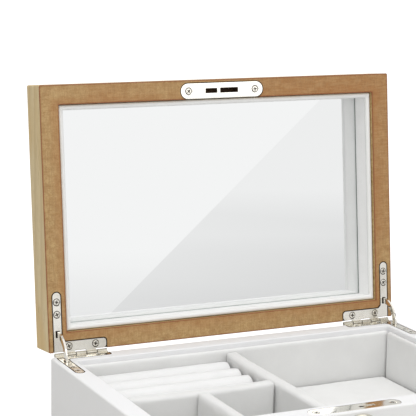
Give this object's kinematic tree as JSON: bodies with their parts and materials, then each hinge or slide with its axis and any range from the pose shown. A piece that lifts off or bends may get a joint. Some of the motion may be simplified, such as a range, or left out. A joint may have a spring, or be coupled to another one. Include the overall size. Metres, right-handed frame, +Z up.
{
  "type": "jewelry box",
  "caption": "Rectangular lidded jewelry box: mirror in the lid, padded tray compartments, ring rolls, quadrant stay hinges and a key-turned hook lock.",
  "frame": {"origin": "centre of the flat face that the box rests on, midway between its side walls and between its front and back walls", "axes": "+X to the right, +Y to the back (hinge side), +Z up; the front with the lock faces -Y; the lid stands open at rest"},
  "size_m": [0.28, 0.2368, 0.2381],
  "materials": {
    "lacquer": "white gloss lacquer over wood",
    "oak": "satin light oak veneer, browner on the rim",
    "bottom_board": "matte sealed board",
    "velvet": "pale short-pile velour over thin foam",
    "ring_roll": "pale velour over foam rolls",
    "nickel": "warm polished nickel plate",
    "screw": "plated countersunk cross-head screws",
    "lock_steel": "satin steel",
    "mirror": "silvered glass"
  },
  "bodies": {
    "base": {"side_board_left": "lacquer", "side_board_right": "lacquer", "back_board": "lacquer", "front_board": "lacquer", "bottom_panel": "bottom_board", "lining_back": "velvet", "lining_front": "velvet", "lining_left": "velvet", "lining_right": "velvet", "divider_long": "velvet", "divider_short": "velvet", "divider_cross": "velvet", "floor_pad_small": "velvet", "floor_pad_middle": "velvet", "floor_pad_large": "velvet", "ring_roll_1": "ring_roll", "ring_roll_2": "ring_roll", "ring_roll_3": "ring_roll", "ring_roll_4": "ring_roll", "ring_bed": "velvet", "lock_case": "lock_steel", "lock_plate": "nickel", "escutcheon": "nickel", "screw_lock_left": "screw", "screw_lock_right": "screw", "hinge_leaf_base_left": "nickel", "hinge_leaf_base_right": "nickel", "screw_base_left_1": "screw", "screw_base_left_2": "screw", "screw_base_left_3": "screw", "screw_base_left_4": "screw", "screw_base_right_1": "screw", "screw_base_right_2": "screw", "screw_base_right_3": "screw", "screw_base_right_4": "screw"},
    "lid": {"lid_rail_left": "oak", "lid_rail_right": "oak", "lid_rail_back": "oak", "lid_rail_front": "oak", "lid_panel": "oak", "mirror": "mirror", "lid_lining": "velvet", "strike_plate": "nickel", "screw_strike_left": "screw", "screw_strike_right": "screw", "hinge_leaf_lid_left": "nickel", "hinge_leaf_lid_right": "nickel", "screw_lid_left_1": "screw", "screw_lid_left_2": "screw", "screw_lid_left_3": "screw", "screw_lid_left_4": "screw", "screw_lid_right_1": "screw", "screw_lid_right_2": "screw", "screw_lid_right_3": "screw", "screw_lid_right_4": "screw"},
    "stay_left": {"stay_left": "nickel"},
    "stay_right": {"stay_right": "nickel"},
    "lock_hook": {"lock_hook": "lock_steel"},
    "lock_cylinder": {"lock_cylinder": "nickel"}
  },
  "joints": [
    {"name": "lid_hinge", "type": "hinge", "parent": "base", "child": "lid", "pos_m": [0, 0.0954, 0.0503], "axis": [1, 0, 0], "range_deg": [0, 96]},
    {"name": "stay_left_slide", "type": "hinge", "parent": "base", "child": "stay_left", "pos_m": [-0.1331, 0.0954, 0.0503], "axis": [1, 0, 0], "range_deg": [0, 48]},
    {"name": "stay_right_slide", "type": "hinge", "parent": "base", "child": "stay_right", "pos_m": [0.1331, 0.0954, 0.0503], "axis": [1, 0, 0], "range_deg": [0, 48]},
    {"name": "key_turn", "type": "hinge", "parent": "base", "child": "lock_cylinder", "pos_m": [0, -0.0895, 0.0331], "axis": [0, -1, 0], "range_deg": [0, 90]},
    {"name": "hook_swing", "type": "hinge", "parent": "base", "child": "lock_hook", "pos_m": [-0.0015, -0.0855, 0.04], "axis": [0, -1, 0], "range_deg": [0, 70]}
  ],
  "couplings": [
    {"joint": "stay_left_slide", "follows": "lid_hinge", "ratio": 0.5},
    {"joint": "stay_right_slide", "follows": "lid_hinge", "ratio": 0.5},
    {"joint": "hook_swing", "follows": "key_turn", "ratio": 0.7777}
  ]
}
